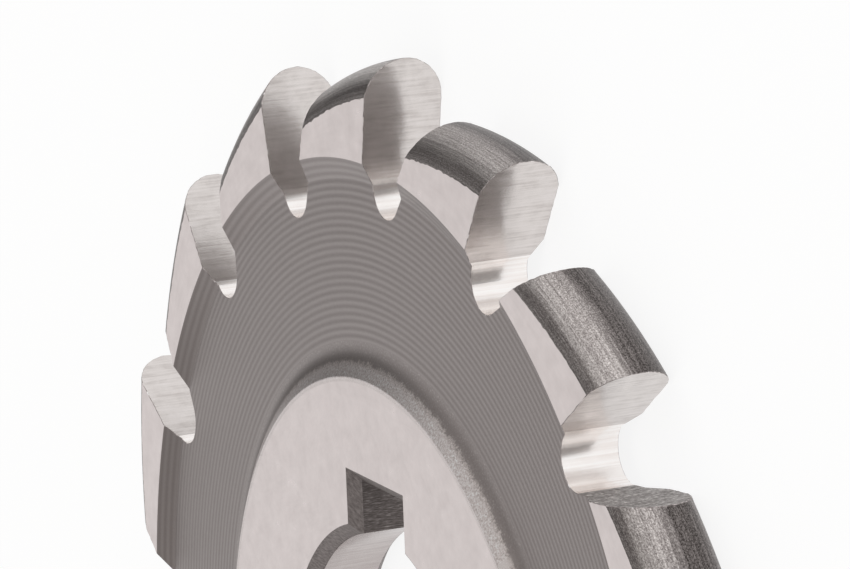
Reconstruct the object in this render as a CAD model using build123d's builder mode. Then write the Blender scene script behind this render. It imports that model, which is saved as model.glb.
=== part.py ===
from build123d import *
from math import atan2, cos, degrees, hypot, radians, sin, sqrt
import os

# Convex radius cutter: a disc of tool steel whose form-relieved teeth mill a half-round groove.
# Sizes are in mm. The origin is the middle of the bore at mid-width, +Z is the cutter's axis and
# +Y runs through the middle of the keyway. Seen from +Z the cutting faces look clockwise.

# Rim and teeth
OUTSIDE_DIAMETER = 50.0
FORM_RADIUS = 1.5               # radius of the half-round that every tooth cuts
TEETH = 16
RAKE_ANGLE = 8.2                # degrees, positive: the tip leads the root
CAM_DROP = 2.11                 # fall of the relief over one whole pitch
TIP_FROM_KEYWAY = -1.3          # degrees from the middle of the keyway to the nearest tip

# Flutes between the teeth
FLUTE_DEPTH = 5.5               # from the tips to the circle that the flute floors touch
FLUTE_ROOT_RADIUS = 1.05
FLUTE_ANGLE = 30.0              # degrees between a cutting face and the back of the tooth ahead

# Disc: ground hub, turned recess, ground flanks
HUB_DIAMETER = 27.2
HUB_WIDTH = 3.1
WEB_WIDTH = 2.1                 # thickness of the disc in the turned recess
HUB_STEP = 0.9                  # radial run of the slope from the hub down to the recess
FLANK_DEPTH = 3.65              # from the tips to where the ground flanks end
FLANK_STEP = 0.8                # radial run of the slope from the flanks down to the recess
FLANK_WIDTH = 2.94              # a hair under the full width of the half-round

# Bore and keyway
BORE_DIAMETER = 16.0
KEYWAY_WIDTH = 4.0
KEYWAY_DEPTH = 1.7              # past the wall of the bore, so 17.7 over the bore
MOUTH_CHAMFER = 0.4             # bevel all round the mouth of the bore and keyway

# Stock that the flute and relief cuts run out into, clear of the finished rim
CLEARANCE = 1.0

# Derived sizes
tip_radius = OUTSIDE_DIAMETER / 2
blank_radius = tip_radius + CLEARANCE
pitch = 360 / TEETH
hub_radius = HUB_DIAMETER / 2
hub_edge = HUB_WIDTH / 2
floor_edge = WEB_WIDTH / 2
flank_radius = tip_radius - FLANK_DEPTH
flank_edge = FLANK_WIDTH / 2
keyway_floor = BORE_DIAMETER / 2 + KEYWAY_DEPTH

# Each land is turned about a centre beside the bore's axis, square to the middle of the land,
# so that its radius falls steadily from the tip to the heel
land_middle = radians(pitch / 4)
relief_offset = CAM_DROP / radians(pitch)
relief_x = relief_offset * sin(land_middle)
relief_y = -relief_offset * cos(land_middle)
relief_radius = hypot(tip_radius - relief_x, relief_y)
relief_reach = relief_radius + CAM_DROP + 2 * CLEARANCE
relief_lead_in = pitch / 6
relief_sweep = pitch * 7 / 8
relief_start = degrees(atan2(-relief_y, tip_radius - relief_x)) - relief_lead_in

# The cutting face is a plane beside the bore's axis and the floor of the flute is tangent to it
face_offset = tip_radius * sin(radians(RAKE_ANGLE))
floor_y = face_offset - FLUTE_ROOT_RADIUS
floor_x = sqrt((tip_radius - FLUTE_DEPTH + FLUTE_ROOT_RADIUS) ** 2 - floor_y**2)
flute_reach = blank_radius + CLEARANCE - floor_x
back_reach = flute_reach / cos(radians(FLUTE_ANGLE))

# Disc before the flutes are milled
with BuildPart() as blank:
    with BuildSketch(Plane.XZ):
        with BuildLine():
            Polyline(
                (0, 0),
                (0, hub_edge),
                (hub_radius, hub_edge),
                (hub_radius + HUB_STEP, floor_edge),
                (flank_radius - FLANK_STEP, floor_edge),
                (flank_radius, flank_edge),
                (blank_radius, flank_edge),
                (blank_radius, 0),
                (0, 0),
            )
        make_face()
        mirror(about=Plane.XZ)
    revolve(axis=Axis.Z)

# Flute: cutting face on one side, rounded floor, back of the tooth ahead on the other
with BuildPart() as flute:
    with BuildSketch():
        with BuildLine():
            face_line = Line((floor_x + flute_reach, face_offset), (floor_x, face_offset))
            floor_arc = CenterArc(
                (floor_x, floor_y),
                FLUTE_ROOT_RADIUS,
                90,
                180 - FLUTE_ANGLE,
            )
            back_line = PolarLine(floor_arc @ 1, back_reach, -FLUTE_ANGLE)
            Line(back_line @ 1, face_line @ 0)
        make_face()
    extrude(amount=HUB_WIDTH, both=True)

# Relief: everything outside the half-round, swept about the offset centre of the land
relief_plane = Plane(
    origin=(relief_x, relief_y, 0),
    x_dir=(cos(radians(relief_start)), sin(radians(relief_start)), 0),
    z_dir=(sin(radians(relief_start)), -cos(radians(relief_start)), 0),
)
with BuildPart() as relief:
    with BuildSketch(relief_plane):
        with BuildLine():
            form_arc = CenterArc((relief_radius - FORM_RADIUS, 0), FORM_RADIUS, -90, 180)
            Polyline(
                form_arc @ 1,
                (relief_radius - FORM_RADIUS, HUB_WIDTH),
                (relief_reach, HUB_WIDTH),
                (relief_reach, -HUB_WIDTH),
                (relief_radius - FORM_RADIUS, -HUB_WIDTH),
                form_arc @ 0,
            )
        make_face()
    revolve(axis=Axis((relief_x, relief_y, 0), (0, 0, 1)), revolution_arc=relief_sweep)

with BuildPart() as cutter_body:
    add(blank.part)

    # Teeth: mill the flutes, then relieve every land. A flute's face passes through the tip.
    with Locations(Rotation(0, 0, 90 + TIP_FROM_KEYWAY)):
        with PolarLocations(0, TEETH):
            add(relief.part, mode=Mode.SUBTRACT)
    with Locations(Rotation(0, 0, 90 + TIP_FROM_KEYWAY - RAKE_ANGLE)):
        with PolarLocations(0, TEETH):
            add(flute.part, mode=Mode.SUBTRACT)

    # Bore and keyway, ground and broached right through
    with BuildSketch():
        Circle(BORE_DIAMETER / 2)
        with Locations((0, keyway_floor / 2)):
            Rectangle(KEYWAY_WIDTH, keyway_floor)
    extrude(amount=HUB_WIDTH, both=True, mode=Mode.SUBTRACT)
    flat_faces = faces().filter_by(Axis.Z)
    front_mouth = flat_faces.sort_by_distance((0, 0, hub_edge))[0].inner_wires()[0]
    back_mouth = flat_faces.sort_by_distance((0, 0, -hub_edge))[0].inner_wires()[0]
    chamfer(front_mouth.edges() + back_mouth.edges(), MOUTH_CHAMFER)

cutter_body.part.label = "cutter_body"
cutter_body.part.color = Color(0.62, 0.60, 0.59)

os.makedirs("parts", exist_ok=True)
export_step(cutter_body.part, "parts/cutter_body.step")
print("solids", len(cutter_body.solids()))
print("volume mm3", round(cutter_body.part.volume, 1))
print("size mm", cutter_body.part.bounding_box().size)
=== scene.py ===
"""Finish, floor, light and camera for a convex radius cutter.

The cutter lies flat on one hub face. Its visible mesh is worked out here from its own sizes: one
tooth is a grid of rows that follow the real edges, Geometry Nodes repeat it round the disc, and a
hub with its keyed bore closes the middle. Sizes are in millimetres and angles in degrees until a
mesh is written, which is in metres.
"""

import logging
import math
from dataclasses import dataclass, field
from enum import Enum
from typing import Callable, ClassVar, Sequence

import bmesh
import bpy
import numpy as np
from mathutils import Matrix, Quaternion, Vector
from mathutils.geometry import tessellate_polygon


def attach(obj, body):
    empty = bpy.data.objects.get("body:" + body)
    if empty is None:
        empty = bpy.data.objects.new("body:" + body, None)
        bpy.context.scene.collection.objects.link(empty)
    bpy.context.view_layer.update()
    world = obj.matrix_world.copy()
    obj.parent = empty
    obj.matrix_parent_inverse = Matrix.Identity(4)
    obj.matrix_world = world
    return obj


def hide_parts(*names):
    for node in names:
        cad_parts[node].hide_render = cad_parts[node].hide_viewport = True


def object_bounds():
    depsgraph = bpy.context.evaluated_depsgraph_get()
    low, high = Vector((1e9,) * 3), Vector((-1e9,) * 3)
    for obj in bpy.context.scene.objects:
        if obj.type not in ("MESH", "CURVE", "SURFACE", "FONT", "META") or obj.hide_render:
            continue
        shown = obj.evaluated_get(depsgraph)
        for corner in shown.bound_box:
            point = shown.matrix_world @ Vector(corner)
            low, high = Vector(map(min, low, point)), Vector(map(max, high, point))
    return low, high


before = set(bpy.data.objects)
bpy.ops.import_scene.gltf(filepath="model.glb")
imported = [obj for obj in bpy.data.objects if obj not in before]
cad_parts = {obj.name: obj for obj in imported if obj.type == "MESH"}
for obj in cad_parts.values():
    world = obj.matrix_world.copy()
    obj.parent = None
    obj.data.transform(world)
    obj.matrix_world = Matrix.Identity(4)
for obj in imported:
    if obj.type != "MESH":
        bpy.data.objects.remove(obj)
CAD_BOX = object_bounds()

LOG = logging.getLogger("radius_cutter")
MM = 0.001
CAD_NODE = "cutter_body"
BODY = "root"

# Names of the attributes that the mesh carries
ZONE = "zone"
TOOTH = "tooth"
BURR = "burr"
LAY = "lay"

Point = tuple[float, float]
Corner = tuple[float, float, float]
Stops = tuple[tuple[float, str], ...]
Tree = bpy.types.NodeTree
Socket = bpy.types.NodeSocket

SMOOTH = (0.0, 0.0, 0.0)
AXIS = (0.0, 0.0)


class Zone(Enum):
    """The surfaces of the cutter that were finished in different ways."""

    GROUND_FACE = 0
    TURNED_WEB = 1
    HUB_SHOULDER = 2
    RELIEVED_LAND = 3
    GROUND_RAKE = 4
    MILLED_FLUTE = 5
    HEEL_BACK = 6
    GROUND_BORE = 7
    BROACHED_KEYWAY = 8
    MOUTH_BEVEL = 9
    BROKEN_EDGE = 10


class Side(Enum):
    """The two walls of a tooth."""

    RAKE = "cutting face"
    HEEL = "back"


def polar(radius: float, angle: float) -> Point:
    """Give the point at a radius and an angle in radians."""
    return (radius * math.cos(angle), radius * math.sin(angle))


def turned(point: Point, angle: float) -> Point:
    """Turn a point about the origin by an angle in radians."""
    c, s = math.cos(angle), math.sin(angle)
    return (point[0] * c - point[1] * s, point[0] * s + point[1] * c)


def part_way(start: Point, end: Point, share: float) -> Point:
    """Give the point at a share of the way from one point to another."""
    return (start[0] + (end[0] - start[0]) * share, start[1] + (end[1] - start[1]) * share)


def line_meets_circle(start: Point, direction: Point, centre: Point, radius: float) -> Point:
    """Find where a line leaves a circle.

    Args:
        start: A point on the line.
        direction: The line's unit direction.
        centre: The circle's centre.
        radius: The circle's radius.

    Returns:
        The crossing that lies further along the direction.
    """
    dx, dy = start[0] - centre[0], start[1] - centre[1]
    along = dx * direction[0] + dy * direction[1]
    reach = math.sqrt(max(along**2 - (dx**2 + dy**2 - radius**2), 0.0)) - along
    return (start[0] + reach * direction[0], start[1] + reach * direction[1])


def placed(name: str, data: bpy.types.ID) -> bpy.types.Object:
    """Make an object of a mesh, a lamp or a camera and link it to the scene.

    Args:
        name: The object's name.
        data: The mesh, lamp or camera.

    Returns:
        The linked object.
    """
    made = bpy.data.objects.new(name, data)
    bpy.context.scene.collection.objects.link(made)
    return made


@dataclass(frozen=True)
class CutterSizes:
    """The cutter's driving sizes, in millimetres and degrees, and what follows from them."""

    outside_diameter: float = 50.0
    form_radius: float = 1.5
    teeth: int = 16
    rake_angle: float = 8.2
    cam_drop: float = 2.11
    tip_from_keyway: float = -1.3
    flute_depth: float = 5.5
    flute_root_radius: float = 1.05
    flute_angle: float = 30.0
    hub_diameter: float = 27.2
    hub_width: float = 3.1
    web_width: float = 2.1
    hub_step: float = 0.9
    flank_depth: float = 3.65
    flank_step: float = 0.8
    flank_width: float = 2.94
    bore_diameter: float = 16.0
    keyway_width: float = 4.0
    keyway_depth: float = 1.7
    mouth_chamfer: float = 0.4

    @property
    def tip_radius(self) -> float:
        """Radius of the circle through the tips."""
        return self.outside_diameter / 2

    @property
    def pitch(self) -> float:
        """Angle from one tooth to the next, in radians."""
        return math.tau / self.teeth

    @property
    def rake(self) -> float:
        """Rake angle in radians."""
        return math.radians(self.rake_angle)

    @property
    def floor_radius(self) -> float:
        """Radius of the circle that the flute floors touch."""
        return self.tip_radius - self.flute_depth

    @property
    def flank_radius(self) -> float:
        """Radius where the ground flanks begin."""
        return self.tip_radius - self.flank_depth

    @property
    def hub_edge(self) -> float:
        """Height of the hub's face over mid-width."""
        return self.hub_width / 2

    @property
    def web_edge(self) -> float:
        """Height of the web's face over mid-width."""
        return self.web_width / 2

    @property
    def flank_edge(self) -> float:
        """Height of the flanks over mid-width."""
        return self.flank_width / 2

    @property
    def hub_radius(self) -> float:
        """Radius of the hub's ground face."""
        return self.hub_diameter / 2

    @property
    def relief_centre(self) -> Point:
        """Centre that the first tooth's land is turned about."""
        middle = self.pitch / 4
        offset = self.cam_drop / self.pitch
        return (offset * math.sin(middle), -offset * math.cos(middle))

    @property
    def relief_radius(self) -> float:
        """Radius of the land's crest about the relief centre."""
        x, y = self.relief_centre
        return math.hypot(self.tip_radius - x, y)

    @property
    def half_round_start(self) -> float:
        """Angle over mid-width where the half-round leaves the flank, in radians."""
        return math.asin(self.flank_edge / self.form_radius)

    @property
    def first_tip(self) -> float:
        """Angle of the first tooth's tip from +X, in radians."""
        return math.radians(90 + self.tip_from_keyway)


@dataclass(frozen=True)
class Flute:
    """The gap in front of the first tooth's cutting face, in that tooth's own frame."""

    sizes: CutterSizes

    @property
    def centre_radius(self) -> float:
        """Distance of the flute floor's centre from the cutter's axis."""
        return self.sizes.floor_radius + self.sizes.flute_root_radius

    @property
    def centre(self) -> Point:
        """Centre of the flute's rounded floor, before the rake turns it."""
        face_offset = self.sizes.tip_radius * math.sin(self.sizes.rake)
        y = face_offset - self.sizes.flute_root_radius
        return (math.sqrt(self.centre_radius**2 - y**2), y)

    @property
    def deepest(self) -> float:
        """Angle on the floor's arc, in radians, of the point nearest to the cutter's axis."""
        return math.pi + math.atan2(self.centre[1], self.centre[0])

    def frame_turn(self, side: Side) -> float:
        """Angle that brings the flute's frame to the wall of the first tooth."""
        return -self.sizes.rake + (self.sizes.pitch if side is Side.HEEL else 0.0)

    def arc_end(self, side: Side) -> float:
        """Angle on the floor's arc, in radians, where the straight wall takes over."""
        return math.pi / 2 if side is Side.RAKE else math.radians(270 - self.sizes.flute_angle)

    def wall_direction(self, side: Side) -> Point:
        """Unit direction of the straight wall, outwards, in the flute's frame."""
        return (1.0, 0.0) if side is Side.RAKE else polar(1.0, -math.radians(self.sizes.flute_angle))

    def on_arc(self, side: Side, angle: float, inset: float) -> Point:
        """Give the point at an angle of the floor's arc, moved into the steel by an inset."""
        dx, dy = polar(self.sizes.flute_root_radius + inset, angle)
        return turned((self.centre[0] + dx, self.centre[1] + dy), self.frame_turn(side))

    def arc_point(self, side: Side, swing: float, inset: float) -> Point:
        """Give the floor's point at a swing from its deepest point towards a wall, in radians."""
        return self.on_arc(side, self.deepest + (-swing if side is Side.RAKE else swing), inset)

    def wall_line(self, side: Side, inset: float) -> tuple[Point, Point]:
        """Give the straight wall, moved into the steel by an inset, as a start and a direction."""
        direction = turned(self.wall_direction(side), self.frame_turn(side))
        return self.on_arc(side, self.arc_end(side), inset), direction

    def full_swing(self, side: Side) -> float:
        """Angle from the deepest point to the end of the arc, in radians."""
        return abs(self.deepest - self.arc_end(side))

    def arc_length(self, side: Side) -> float:
        """Length of the floor's arc from the deepest point to a straight wall."""
        return self.sizes.flute_root_radius * self.full_swing(side)

    def swing_at(self, radius: float, inset: float) -> float:
        """Find where the inset arc has a certain distance from the cutter's axis.

        Args:
            radius: That distance.
            inset: How far the arc is moved into the steel.

        Returns:
            Angle from the deepest point, in radians.
        """
        arc = self.sizes.flute_root_radius + inset
        cosine = (self.centre_radius**2 + arc**2 - radius**2) / (2 * self.centre_radius * arc)
        return math.acos(max(-1.0, min(1.0, cosine)))

    def radius_at(self, swing: float, inset: float) -> float:
        """Radius about the cutter's axis of the inset arc's point at a swing."""
        arc = self.sizes.flute_root_radius + inset
        return math.sqrt(
            self.centre_radius**2 + arc**2 - 2 * self.centre_radius * arc * math.cos(swing)
        )


@dataclass
class MeshSheet:
    """Vertices, faces, finishes and surface coordinates of a mesh that is being laid out."""

    points: list[Corner] = field(default_factory=list)
    burrs: list[Corner] = field(default_factory=list)
    faces: list[tuple[int, ...]] = field(default_factory=list)
    zones: list[int] = field(default_factory=list)
    lays: list[list[Point]] = field(default_factory=list)

    def point(self, x: float, y: float, z: float, burr: Corner = SMOOTH) -> int:
        """Add a vertex.

        Args:
            x: Place along X.
            y: Place along Y.
            z: Place along Z.
            burr: How far a burr may move the vertex along each axis.

        Returns:
            The vertex's number.
        """
        self.points.append((x, y, z))
        self.burrs.append(burr)
        return len(self.points) - 1

    def face(self, corners: Sequence[int], zone: Zone, lay: Sequence[Point]) -> None:
        """Add a face, leaving out corners that repeat.

        Args:
            corners: Numbers of its vertices in order.
            zone: How this surface was finished.
            lay: For each corner, millimetres along and across the finish's own direction.
        """
        kept: dict[int, Point] = {}
        for corner, place in zip(corners, lay):
            kept.setdefault(corner, place)
        if len(kept) > 2:
            self.faces.append(tuple(kept))
            self.zones.append(zone.value)
            self.lays.append(list(kept.values()))

    def strip(
        self,
        first: Sequence[int],
        second: Sequence[int],
        zone: Zone,
        lay: Callable[[int, int], Point],
    ) -> None:
        """Join two rows of vertices with a strip of faces.

        Args:
            first: Vertex numbers of one row.
            second: Vertex numbers of the other, of the same length.
            zone: How this surface was finished.
            lay: Gives a corner's surface coordinates from its row, 0 or 1, and its column.
        """
        for i in range(len(first) - 1):
            corners = (first[i], first[i + 1], second[i + 1], second[i])
            self.face(corners, zone, (lay(0, i), lay(0, i + 1), lay(1, i + 1), lay(1, i)))

    def object(self, name: str, turn: float = 0.0) -> bpy.types.Object:
        """Make a Blender object of the sheet.

        Args:
            name: The object's name.
            turn: Angle, in radians, to turn the whole sheet about the cutter's axis.

        Returns:
            The linked object, with its attributes.
        """
        mesh = bpy.data.meshes.new(name)
        mesh.from_pydata([tuple(c * MM for c in p) for p in self.points], [], self.faces)
        mesh.transform(Matrix.Rotation(turn, 4, "Z"))
        zones = mesh.attributes.new(ZONE, "INT", "FACE")
        zones.data.foreach_set("value", self.zones)
        burrs = mesh.attributes.new(BURR, "FLOAT_VECTOR", "POINT")
        burrs.data.foreach_set("vector", [c for burr in self.burrs for c in burr])
        lay = mesh.uv_layers.new(name=LAY)
        lay.data.foreach_set("uv", [c for face in self.lays for place in face for c in place])
        return placed(name, mesh)


@dataclass(frozen=True)
class Row:
    """One line of vertices across a tooth, from its cutting face to its back.

    Attributes:
        radius: Radius of the line about its centre.
        height: Height of the surface over mid-width there.
        zone: Finish of the surface between this row and the next one outwards.
        on_relief: The centre is the relief's and not the cutter's.
        blend: Share of the way from the half-round back to the foot of the flank.
        ragged: The row is the border of two finishes, which meet in an uneven line.
    """

    radius: float
    height: float
    zone: Zone
    on_relief: bool = False
    blend: float = 0.0
    ragged: bool = False


@dataclass
class ToothRing:
    """The web and the form-relieved teeth, as one sector that is repeated."""

    sizes: CutterSizes
    columns: int = 32
    web_rows: int = 3
    flank_rows: int = 14
    half_round_rows: int = 20
    wall_columns: int = 6
    swing_step: float = 12.0
    edge_break: float = 0.02
    foot_radius: float = 1.2
    foot_rows: int = 5
    grained_ring: float = 0.15
    flute_burr: float = 0.012
    tooth_burr: float = 0.06
    border_burr: float = 0.16

    @property
    def flute(self) -> Flute:
        """The flute in front of the first tooth."""
        return Flute(self.sizes)

    @property
    def hub_rim(self) -> float:
        """Radius where the grained ring at the edge of the hub's ground face begins."""
        return self.sizes.hub_radius - self.grained_ring

    @property
    def seam(self) -> float:
        """Angle of the sector's first side: the deepest point of the flute."""
        deepest = self.flute.arc_point(Side.RAKE, 0.0, 0.0)
        return math.atan2(deepest[1], deepest[0])

    def hub_rows(self) -> list[Row]:
        """Lay out the hub's side, its rounded foot and the web.

        Returns:
            Rows from the edge of the hub's face outwards.
        """
        s = self.sizes
        slope = math.atan2(s.hub_edge - s.web_edge, s.hub_step)
        toe = s.hub_radius + s.hub_step + self.foot_radius * math.tan(slope / 2)
        edge_x, edge_z = polar(self.edge_break, slope)
        profile = [
            (self.hub_rim, s.hub_edge),
            (s.hub_radius - self.edge_break, s.hub_edge),
            (s.hub_radius + edge_x, s.hub_edge - edge_z),
        ]
        for i in range(self.foot_rows + 1):
            angle = slope * (1 - i / self.foot_rows)
            radius = toe - self.foot_radius * math.sin(angle)
            profile.append((radius, s.web_edge + self.foot_radius * (1 - math.cos(angle))))
        last = s.floor_radius - self.edge_break
        for radius in np.linspace(toe, last, self.web_rows + 2)[1:-1]:
            profile.append((float(radius), s.web_edge))
        shoulder = len(profile) - 1 - self.web_rows
        return [
            Row(radius, height, Zone.HUB_SHOULDER if i < shoulder else Zone.TURNED_WEB)
            for i, (radius, height) in enumerate(profile)
        ]

    def root_radii(self) -> list[float]:
        """Find the radii of the rows beside the flute's rounded floor.

        Returns:
            The radii, from the floor's deepest point outwards.
        """
        flute, s = self.flute, self.sizes
        last = flute.full_swing(Side.RAKE)
        count = math.ceil(math.degrees(last) / self.swing_step)
        swings = [last * i / count for i in range(count + 1)]
        swings.append(flute.full_swing(Side.HEEL))
        radii = [flute.radius_at(swing, 0.0) for swing in swings]
        radii.append(s.flank_radius - s.flank_step)
        return sorted(radii)

    def height_at(self, radius: float) -> float:
        """Give the height of the turned recess and its outer step.

        Args:
            radius: Distance from the cutter's axis.

        Returns:
            Height over mid-width.
        """
        s = self.sizes
        share = (radius - (s.flank_radius - s.flank_step)) / s.flank_step
        return s.web_edge + (s.flank_edge - s.web_edge) * min(max(share, 0.0), 1.0)

    def tooth_rows(self) -> list[Row]:
        """Lay out one face of a tooth.

        Returns:
            Rows from the flute's deepest point out to the crest.
        """
        s = self.sizes
        rows = []
        for radius in [*self.root_radii(), s.flank_radius]:
            zone = Zone.TURNED_WEB if radius < s.flank_radius else Zone.GROUND_FACE
            rows.append(Row(radius, self.height_at(radius), zone))
        start = s.relief_radius - s.form_radius * (1 - math.cos(s.half_round_start))
        for i in range(1, self.flank_rows):
            blend = 1 - i / self.flank_rows
            rows.append(Row(start, s.flank_edge, Zone.GROUND_FACE, True, blend))
        for i in range(self.half_round_rows + 1):
            angle = s.half_round_start * (1 - i / self.half_round_rows)
            radius = s.relief_radius - s.form_radius * (1 - math.cos(angle))
            height = s.form_radius * math.sin(angle)
            rows.append(Row(radius, height, Zone.RELIEVED_LAND, True, ragged=i == 0))
        return rows

    def wall_end(self, row: Row, side: Side, inset: float) -> Point:
        """Find where a row meets a wall of the tooth.

        Args:
            row: The row, which may be on either centre or between the two.
            side: The wall.
            inset: Distance of the crossing from the wall, into the steel.

        Returns:
            The crossing's x and y, in the first tooth's frame.
        """
        s, flute = self.sizes, self.flute
        line_start, direction = flute.wall_line(side, inset)
        if not row.on_relief:
            if row.radius > flute.radius_at(flute.full_swing(side), inset):
                return line_meets_circle(line_start, direction, AXIS, row.radius)
            return flute.arc_point(side, flute.swing_at(row.radius, inset), inset)
        outer = line_meets_circle(line_start, direction, s.relief_centre, row.radius)
        if not row.blend:
            return outer
        inner = line_meets_circle(line_start, direction, AXIS, s.flank_radius)
        return part_way(outer, inner, row.blend)

    def across(self, row: Row) -> list[Point]:
        """Lay a row's points across the tooth, from the cutting face to the back.

        Args:
            row: The row.

        Returns:
            One x and y for each column, ends included.
        """
        s = self.sizes
        if row.blend:
            outer = self.across(Row(row.radius, row.height, row.zone, True))
            inner = self.across(Row(s.flank_radius, row.height, row.zone))
            return [part_way(o, i, row.blend) for o, i in zip(outer, inner)]
        cx, cy = s.relief_centre if row.on_relief else AXIS
        ends = []
        for side in Side:
            x, y = self.wall_end(row, side, self.edge_break)
            ends.append(math.atan2(y - cy, x - cx))
        angles = np.linspace(ends[0], ends[1], self.columns + 1)
        return [(cx + row.radius * math.cos(a), cy + row.radius * math.sin(a)) for a in angles]

    def inner_across(self, row: Row) -> list[Point]:
        """Lay the points of a row inside the flutes, over a whole pitch."""
        angles = np.linspace(self.seam, self.seam + self.sizes.pitch, self.columns + 1)
        return [polar(row.radius, float(a)) for a in angles]

    def wall_shift(self, row: Row) -> Corner:
        """Say how far a row's end at a wall may stray: more on the land than in the flute."""
        return (self.tooth_burr if row.on_relief else self.flute_burr,) * 3

    def lay_skin(self, sheet: MeshSheet) -> list[list[int]]:
        """Lay the web, flanks and land, from the hub over the crest and back to the hub.

        Args:
            sheet: The mesh that the surface goes into.

        Returns:
            Vertex numbers of the rows beside the walls, from one face over the crest to the other.
        """
        inner, outer = self.hub_rows(), self.tooth_rows()
        floor = outer[0]
        outer[0] = Row(floor.radius - self.edge_break, floor.height, floor.zone)
        rows = [(row, self.inner_across(row), SMOOTH) for row in inner]
        rows += [(row, self.across(row), self.wall_shift(row)) for row in outer]
        lines: list[list[int]] = []
        for flip, part in ((1, rows), (-1, rows[-2::-1])):
            for row, points, at_wall in part:
                between = (self.border_burr, self.border_burr, 0.0) if row.ragged else SMOOTH
                stray = [at_wall, *[between] * (len(points) - 2), at_wall]
                height = flip * row.height
                lines.append([sheet.point(x, y, height, s) for (x, y), s in zip(points, stray)])
        zones = [row.zone for row, _, _ in rows[:-1]]
        run = self.profile_run(sheet, lines)
        for j, zone in enumerate([*zones, *reversed(zones)]):
            width = [math.dist(sheet.points[r[0]], sheet.points[r[-1]]) for r in lines[j : j + 2]]
            sheet.strip(
                lines[j],
                lines[j + 1],
                zone,
                lambda k, i: (width[k] * (i / self.columns - 0.5), run[j + k]),
            )
        return lines[len(inner) : len(lines) - len(inner)]

    @staticmethod
    def profile_run(sheet: MeshSheet, lines: Sequence[Sequence[int]]) -> list[float]:
        """Measure how far each row is from the crest along the surface.

        Args:
            sheet: The mesh that the rows are in.
            lines: Vertex numbers of the rows in order.

        Returns:
            The distances in millimetres, negative before the crest.
        """
        middle = len(lines[0]) // 2
        run = [0.0]
        for a, b in zip(lines, lines[1:]):
            run.append(run[-1] + math.dist(sheet.points[a[middle]], sheet.points[b[middle]]))
        return [r - run[-1] / 2 for r in run]

    def wall_outline(self, side: Side) -> tuple[list[float], list[float]]:
        """Give the outline of a wall on one face of the cutter.

        Args:
            side: The wall.

        Returns:
            For each row, the distance along the wall from the flute's deepest point, and the
            height over mid-width, both moved in from the sharp edge by the broken edge.
        """
        flute, s = self.flute, self.sizes
        line_start, _ = flute.wall_line(side, 0.0)
        runs, heights = [], []
        for row in self.tooth_rows():
            if not row.on_relief and row.radius <= flute.radius_at(flute.full_swing(side), 0.0):
                run = s.flute_root_radius * flute.swing_at(row.radius, 0.0)
            else:
                straight = math.dist(line_start, self.wall_end(row, side, 0.0))
                run = flute.arc_length(side) + straight
            runs.append(run)
            heights.append(row.height)
        ds = np.gradient(np.append(runs, runs[-2]))[:-1]
        dh = np.gradient(np.append(heights, -heights[-2]))[:-1]
        length = np.hypot(ds, dh)
        runs_in = np.array(runs) + self.edge_break * dh / length
        heights_in = np.array(heights) - self.edge_break * ds / length
        runs_in[0], heights_in[-1] = runs[0], 0.0
        return list(runs_in), list(heights_in)

    def wall_point(self, side: Side, run: float) -> Point:
        """Give the point of a wall at a distance from the flute's deepest point.

        Args:
            side: The wall.
            run: Distance along the wall from that point.

        Returns:
            The point's x and y.
        """
        past_arc = run - self.flute.arc_length(side)
        if past_arc <= 0:
            return self.flute.arc_point(side, run / self.sizes.flute_root_radius, 0.0)
        (x, y), (dx, dy) = self.flute.wall_line(side, 0.0)
        return (x + dx * past_arc, y + dy * past_arc)

    def lay_wall(self, sheet: MeshSheet, side: Side, skin: Sequence[Sequence[int]]) -> None:
        """Lay one wall of the tooth and the broken edge that joins it to the skin.

        Args:
            sheet: The mesh that the surface goes into.
            side: The wall.
            skin: Rows beside the walls, from one face over the crest to the other.
        """
        runs, heights = self.wall_outline(side)
        burrs = [self.wall_shift(row) for row in self.tooth_rows()]
        width = self.wall_columns + 1
        lines = []
        for run, height, burr in zip(runs[:-1], heights, burrs):
            x, y = self.wall_point(side, run)
            stray = [burr, *[SMOOTH] * (width - 2), burr]
            levels = np.linspace(height, -height, width)
            lines.append([sheet.point(x, y, z, s) for z, s in zip(levels, stray)])
        crest = sheet.point(*self.wall_point(side, runs[-1]), 0.0, burrs[-1])
        lines.append([crest] * width)
        flat = Zone.GROUND_RAKE if side is Side.RAKE else Zone.HEEL_BACK
        flat_start = self.flute.arc_length(side) - self.edge_break
        for j in range(len(lines) - 1):
            sheet.strip(
                lines[j],
                lines[j + 1],
                flat if runs[j] > flat_start else Zone.MILLED_FLUTE,
                lambda k, m: (sheet.points[lines[j + k][m]][2], runs[j + k]),
            )
        column = 0 if side is Side.RAKE else -1
        last = len(skin) - 1
        for j in range(len(lines) - 1):
            for skin_rows, end in (((j, j + 1), 0), ((last - j, last - j - 1), -1)):
                near, far = (skin[row][column] for row in skin_rows)
                corners = (near, far, lines[j + 1][end], lines[j][end])
                lay = [(sheet.points[c][2], runs[j]) for c in corners]
                sheet.face(corners, Zone.BROKEN_EDGE, lay)

    def sector(self) -> bpy.types.Object:
        """Make the first tooth with its share of the web.

        Returns:
            The sector, turned to its place by the keyway.
        """
        sheet = MeshSheet()
        skin = self.lay_skin(sheet)
        for side in Side:
            self.lay_wall(sheet, side, skin)
        return sheet.object("tooth_sector", self.sizes.first_tip)


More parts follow.
